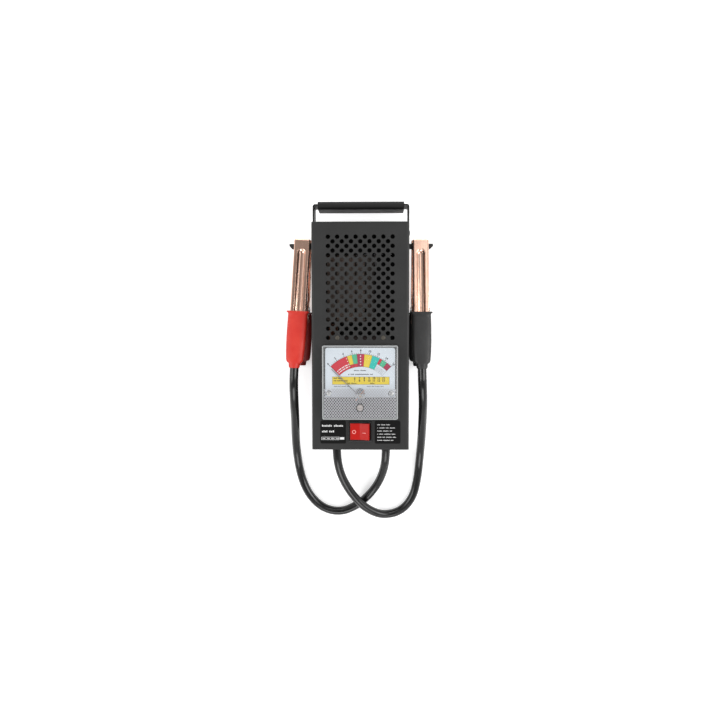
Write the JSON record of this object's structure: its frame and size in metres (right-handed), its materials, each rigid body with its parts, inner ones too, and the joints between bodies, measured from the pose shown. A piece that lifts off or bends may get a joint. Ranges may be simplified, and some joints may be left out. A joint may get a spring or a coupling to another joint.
{
  "type": "battery load tester",
  "caption": "Hand-carried load tester with perforated steel case, strap handle, square panel meter, rocker switch and two leads with spring clamps.",
  "frame": {"origin": "centre of the case's back face", "axes": "+X to the right of the front panel, +Y towards the carrying handle, +Z out of the front panel"},
  "size_m": [0.1904, 0.4272, 0.0917],
  "materials": {
    "case_paint": "fine wrinkle, satin",
    "strap_paint": "satin",
    "grip_plastic": "satin moulded",
    "black_screw": "blackened",
    "bright_rivet": "plain",
    "bush_rubber": "matte",
    "resistance_alloy": "oxidised",
    "ceramic": "unglazed",
    "fibre_board": "pressed board",
    "bare_copper": "plain",
    "zinc_steel": "zinc plated",
    "meter_black": "satin",
    "meter_clear": "clear polystyrene",
    "dial_print": "printed white",
    "screen_print": "printed hatch",
    "magnet_iron": "plain",
    "bridge_metal": "plain",
    "fine_brass": "plain",
    "coil_wire": "enamelled copper",
    "pointer_paint": "matte black",
    "spring_steel": "plain",
    "adjuster_plastic": "moulded",
    "switch_black": "moulded",
    "rocker_red": "moulded",
    "label_film": "printed film",
    "jaw_copper": "bright copper plate",
    "red_rubber": "satin moulded",
    "black_rubber": "satin moulded",
    "lead_sheath": "satin",
    "wire_sheath": "plain"
  },
  "bodies": {
    "case": {"front_cover": "case_paint", "rear_chassis": "case_paint", "left_clamp_hanger": "case_paint", "right_clamp_hanger": "case_paint", "handle_strap": "strap_paint", "handle_grip": "grip_plastic", "cover_screws": "black_screw", "handle_rivets": "black_screw", "hanger_rivets": "black_screw", "heat_shield_rivets": "bright_rivet", "left_cable_grommet": "bush_rubber", "right_cable_grommet": "bush_rubber", "load_element": "resistance_alloy", "upper_insulator": "ceramic", "lower_insulator": "ceramic", "insulator_posts": "ceramic", "heat_shield": "fibre_board", "positive_bus": "bare_copper", "switch_bus": "bare_copper", "negative_bus": "bare_copper", "lead_lugs": "bare_copper", "bus_screws": "zinc_steel", "meter_studs": "zinc_steel", "meter_nuts": "zinc_steel", "dial_screws": "zinc_steel", "meter_base": "meter_black", "meter_cover": "meter_clear", "dial_plate": "dial_print", "meter_screen": "screen_print", "meter_magnet": "magnet_iron", "meter_core": "magnet_iron", "meter_bridge": "bridge_metal", "jewel_screws": "fine_brass", "hairsprings": "fine_brass", "switch_terminals": "fine_brass", "switch_spring": "spring_steel", "red_jaw_spring": "spring_steel", "black_jaw_spring": "spring_steel", "red_pivot_pin": "spring_steel", "black_pivot_pin": "spring_steel", "switch_housing": "switch_black", "left_label": "label_film", "right_label": "label_film", "red_front_jaw": "jaw_copper", "black_front_jaw": "jaw_copper", "red_front_boot": "red_rubber", "black_front_boot": "black_rubber", "red_lead": "lead_sheath", "black_lead": "lead_sheath", "meter_wires": "wire_sheath"},
    "rocker": {"switch_rocker": "rocker_red"},
    "contact_lever": {"switch_lever": "fine_brass"},
    "movement": {"pointer": "pointer_paint", "moving_coil": "coil_wire", "pointer_staff": "spring_steel"},
    "zero_screw": {"zero_adjuster": "adjuster_plastic"},
    "red_jaw": {"red_rear_jaw": "jaw_copper", "red_rear_boot": "red_rubber"},
    "black_jaw": {"black_rear_jaw": "jaw_copper", "black_rear_boot": "black_rubber"}
  },
  "joints": [
    {"name": "rocker_press", "type": "hinge", "parent": "case", "child": "rocker", "pos_m": [0, -0.1184, 0.076], "axis": [0, 1, 0], "range_deg": [0, 18], "stiffness_Nm_per_rad": 0.02, "springref_deg": -2.86, "deforming": ["switch_spring"]},
    {"name": "contact_lever_tilt", "type": "hinge", "parent": "case", "child": "contact_lever", "pos_m": [0, -0.1184, 0.061], "axis": [0, 1, 0], "range_deg": [-9, 0]},
    {"name": "pointer_sweep", "type": "hinge", "parent": "case", "child": "movement", "pos_m": [0, -0.0741, 0.07], "axis": [0, 0, 1], "range_deg": [-92, 0], "stiffness_Nm_per_rad": 0.00002, "springref_deg": 2.86, "deforming": ["hairsprings"]},
    {"name": "zero_turn", "type": "hinge", "parent": "case", "child": "zero_screw", "pos_m": [0, -0.0873, 0.09], "axis": [0, 0, 1], "continuous": true},
    {"name": "red_clamp_open", "type": "hinge", "parent": "case", "child": "red_jaw", "pos_m": [-0.0805, 0.0352, 0.0405], "axis": [-0.9989, 0.0471, 0], "range_deg": [0, 22], "stiffness_Nm_per_rad": 3, "springref_deg": -34.38, "deforming": ["red_jaw_spring"]},
    {"name": "black_clamp_open", "type": "hinge", "parent": "case", "child": "black_jaw", "pos_m": [0.0774, 0.0343, 0.0405], "axis": [-1, -0.0017, 0], "range_deg": [0, 22], "stiffness_Nm_per_rad": 3, "springref_deg": -34.38, "deforming": ["black_jaw_spring"]}
  ],
  "couplings": [
    {"joint": "contact_lever_tilt", "follows": "rocker_press", "ratio": -0.5}
  ]
}
